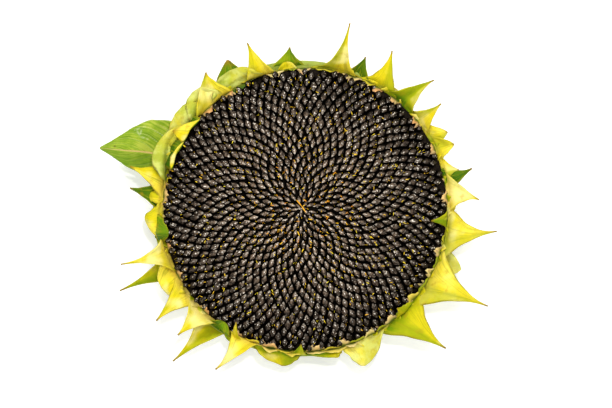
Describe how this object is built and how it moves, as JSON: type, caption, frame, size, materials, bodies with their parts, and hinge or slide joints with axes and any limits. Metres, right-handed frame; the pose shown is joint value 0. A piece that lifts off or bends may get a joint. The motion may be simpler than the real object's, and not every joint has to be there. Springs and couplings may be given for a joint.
{
  "type": "sunflower seed head",
  "caption": "Ripe sunflower head cut with a short stalk: dark seeds packed in golden-angle spirals on a fleshy receptacle ringed with pointed bracts, with one small leaf behind",
  "frame": {"origin": "centre of the flat cut end of the stalk, on the surface that the head lies on", "axes": "+Z points out of the seed face, which lies upwards; +Y points to the top of the picture and +X to its right"},
  "size_m": [0.2524, 0.2199, 0.0486],
  "materials": {
    "stem": "fresh green stem, matte and slightly hairy",
    "bract": "yellow to green leathery bracts, satin",
    "seed": "near-black woody hulls, satin with small highlights",
    "leaf": "green leaf with pale veins, matte"
  },
  "bodies": {
    "root": {"stalk": "stem", "receptacle": "bract", "seed_disc": "seed", "leaf": "leaf"}
  },
  "joints": []
}
